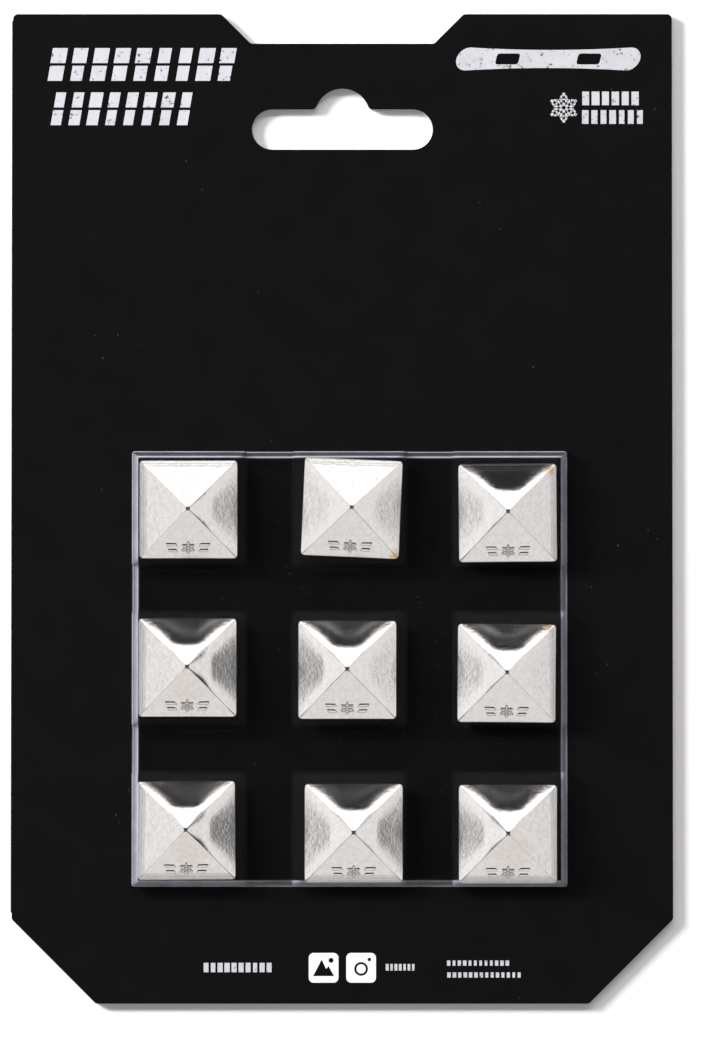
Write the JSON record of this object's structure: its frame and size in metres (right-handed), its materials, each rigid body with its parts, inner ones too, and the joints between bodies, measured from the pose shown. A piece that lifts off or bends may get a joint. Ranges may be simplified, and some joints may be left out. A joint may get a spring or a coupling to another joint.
{
  "type": "snowboard stomp pad",
  "caption": "Carded blister pack of stick-on metal pyramid studs that make a snowboard stomp pad, with a folded black card, a hang hole and a clear pocketed blister.",
  "frame": {"origin": "middle of the pack's footprint, on the surface that its back lies on", "axes": "+Z out of the printed front, +Y towards the hang hole, +X to the right as the front is read"},
  "size_m": [0.12, 0.18, 0.0094],
  "materials": {
    "black_card": "satin",
    "clear_sheet": "gloss",
    "bright_metal": "polished",
    "foam_tape": "matte",
    "liner_paper": "satin",
    "white_print": "matte"
  },
  "bodies": {
    "back_panel": {"back_card": "black_card"},
    "front_panel": {"front_card": "black_card", "blister": "clear_sheet"},
    "stud_unit_1": {"stud_1": "bright_metal", "pad_1": "foam_tape", "liner_1": "liner_paper"},
    "stud_unit_2": {"stud_2": "bright_metal", "pad_2": "foam_tape", "liner_2": "liner_paper"},
    "stud_unit_3": {"stud_3": "bright_metal", "pad_3": "foam_tape", "liner_3": "liner_paper"},
    "stud_unit_4": {"stud_4": "bright_metal", "pad_4": "foam_tape", "liner_4": "liner_paper"},
    "stud_unit_5": {"stud_5": "bright_metal", "pad_5": "foam_tape", "liner_5": "liner_paper"},
    "stud_unit_6": {"stud_6": "bright_metal", "pad_6": "foam_tape", "liner_6": "liner_paper"},
    "stud_unit_7": {"stud_7": "bright_metal", "pad_7": "foam_tape", "liner_7": "liner_paper"},
    "stud_unit_8": {"stud_8": "bright_metal", "pad_8": "foam_tape", "liner_8": "liner_paper"},
    "stud_unit_9": {"stud_9": "bright_metal", "pad_9": "foam_tape", "liner_9": "liner_paper"}
  },
  "joints": [
    {"name": "card_fold", "type": "hinge", "parent": "back_panel", "child": "front_panel", "pos_m": [-0.06, 0, 0.0006], "axis": [0, -1, 0], "range_deg": [0, 165]},
    {"name": "stud_1_play", "type": "slide", "parent": "back_panel", "child": "stud_unit_1", "axis": [0, 1, 0], "range_m": [-0.00075, 0.00105]},
    {"name": "stud_2_play", "type": "slide", "parent": "back_panel", "child": "stud_unit_2", "axis": [0, 1, 0], "range_m": [-0.00062, 0.00042]},
    {"name": "stud_3_play", "type": "slide", "parent": "back_panel", "child": "stud_unit_3", "axis": [0, 1, 0], "range_m": [-0.00002, 0.00162]},
    {"name": "stud_4_play", "type": "slide", "parent": "back_panel", "child": "stud_unit_4", "axis": [0, 1, 0], "range_m": [-0.0011, 0.0007]},
    {"name": "stud_5_play", "type": "slide", "parent": "back_panel", "child": "stud_unit_5", "axis": [0, 1, 0], "range_m": [-0.0007, 0.0011]},
    {"name": "stud_6_play", "type": "slide", "parent": "back_panel", "child": "stud_unit_6", "axis": [0, 1, 0], "range_m": [-0.00004, 0.00164]},
    {"name": "stud_7_play", "type": "slide", "parent": "back_panel", "child": "stud_unit_7", "axis": [0, 1, 0], "range_m": [-0.00064, 0.00104]},
    {"name": "stud_8_play", "type": "slide", "parent": "back_panel", "child": "stud_unit_8", "axis": [0, 1, 0], "range_m": [-0.0002, 0.0016]},
    {"name": "stud_9_play", "type": "slide", "parent": "back_panel", "child": "stud_unit_9", "axis": [0, 1, 0], "range_m": [-0.00005, 0.00175]}
  ]
}
